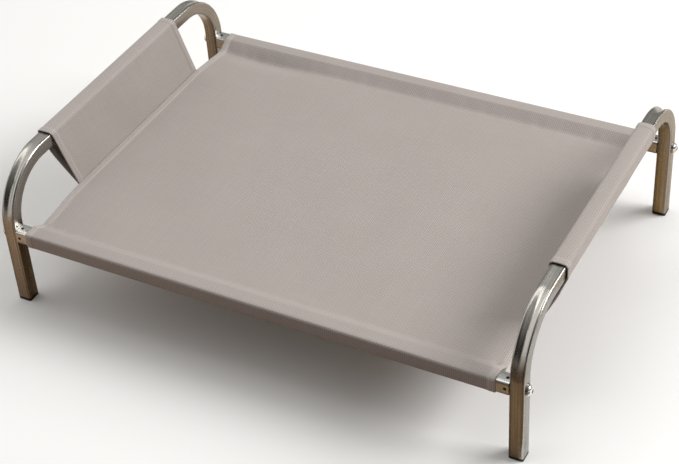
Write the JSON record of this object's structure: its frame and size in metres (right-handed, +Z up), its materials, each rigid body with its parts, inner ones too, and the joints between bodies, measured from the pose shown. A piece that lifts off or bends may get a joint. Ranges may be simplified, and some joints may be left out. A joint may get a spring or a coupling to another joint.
{
  "type": "dog bed with frame",
  "caption": "Raised dog bed: bent square-tube end frames, bolted rails, and a tight mesh cloth sling with a sloping cloth panel looped over each end bar.",
  "frame": {"origin": "on the floor, under the middle of the bed", "axes": "+X along the bed's length, +Y to its rear rail, +Z up"},
  "size_m": [0.7748, 0.5552, 0.2166],
  "materials": {
    "tube_steel": "satin steel tube, bright ridges on the bends",
    "bolt_chrome": "bright plated",
    "black_steel": "blackened steel",
    "cap_plastic": "moulded black plastic",
    "mesh_cloth": "coated mesh weave, warm grey"
  },
  "bodies": {
    "root": {"left_end_frame": "tube_steel", "left_end_panel": "mesh_cloth", "front_left_bolt": "bolt_chrome", "front_left_washer": "bolt_chrome", "front_left_rail_plug": "black_steel", "front_left_foot_cap": "cap_plastic", "rear_left_bolt": "bolt_chrome", "rear_left_washer": "bolt_chrome", "rear_left_rail_plug": "black_steel", "rear_left_foot_cap": "cap_plastic", "right_end_frame": "tube_steel", "right_end_panel": "mesh_cloth", "front_right_bolt": "bolt_chrome", "front_right_washer": "bolt_chrome", "front_right_rail_plug": "black_steel", "front_right_foot_cap": "cap_plastic", "rear_right_bolt": "bolt_chrome", "rear_right_washer": "bolt_chrome", "rear_right_rail_plug": "black_steel", "rear_right_foot_cap": "cap_plastic", "front_rail": "tube_steel", "rear_rail": "tube_steel", "base_sling": "mesh_cloth"}
  },
  "joints": []
}
